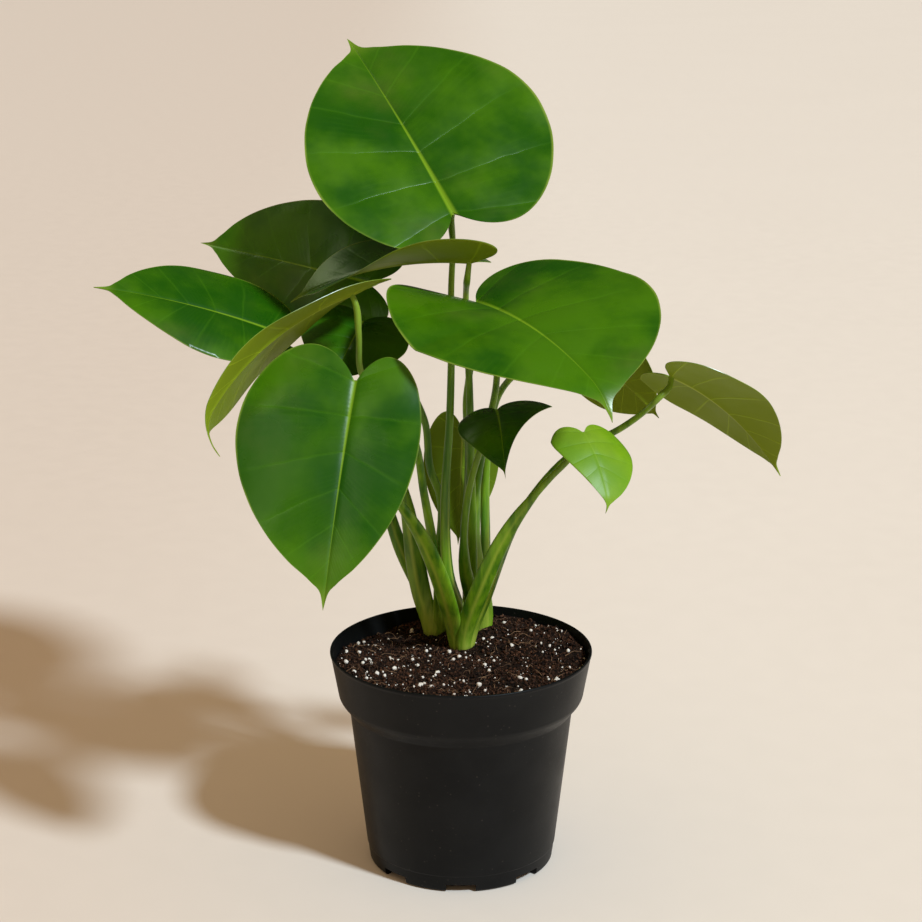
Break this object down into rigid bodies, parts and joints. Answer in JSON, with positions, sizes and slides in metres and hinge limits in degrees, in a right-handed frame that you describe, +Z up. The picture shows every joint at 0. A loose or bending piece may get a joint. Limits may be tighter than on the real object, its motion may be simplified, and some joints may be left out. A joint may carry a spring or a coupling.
{
  "type": "potted monstera plant",
  "caption": "Young potted monstera: long-stalked heart-shaped leaves rising from crowns in peat soil, in a tapered black nursery pot with a wide lip and notched foot.",
  "frame": {"origin": "centre of the pot's base, on the surface it stands on", "axes": "+Z up through the pot; -Y towards the plant's front, +X to the right of someone who faces it"},
  "size_m": [0.4203, 0.2607, 0.507],
  "materials": {
    "pot": "satin black moulded plastic",
    "soil": null,
    "crowns": null,
    "stems": "smooth yellow-green living stalk; wood stands in",
    "leaves": "satin mid green living blade with pale veins; leather stands in"
  },
  "bodies": {
    "root": {"nursery_pot": "pot", "potting_soil": "soil", "crown_front": "crowns", "crown_left": "crowns", "crown_back": "crowns", "stem_top": "stems", "stem_upper_left": "stems", "stem_far_left": "stems", "stem_mid_left": "stems", "stem_centre": "stems", "stem_front": "stems", "stem_right": "stems", "stem_middle": "stems", "stem_back_right": "stems", "stem_behind_right": "stems", "stem_small_right": "stems", "stem_far_right": "stems", "stem_back": "stems", "stem_inner_left": "stems", "leaf_top": "leaves", "leaf_upper_left": "leaves", "leaf_far_left": "leaves", "leaf_mid_left": "leaves", "leaf_centre": "leaves", "leaf_front": "leaves", "leaf_right": "leaves", "leaf_middle": "leaves", "leaf_back_right": "leaves", "leaf_behind_right": "leaves", "leaf_small_right": "leaves", "leaf_far_right": "leaves", "leaf_back": "leaves", "leaf_inner_left": "leaves"}
  },
  "joints": []
}
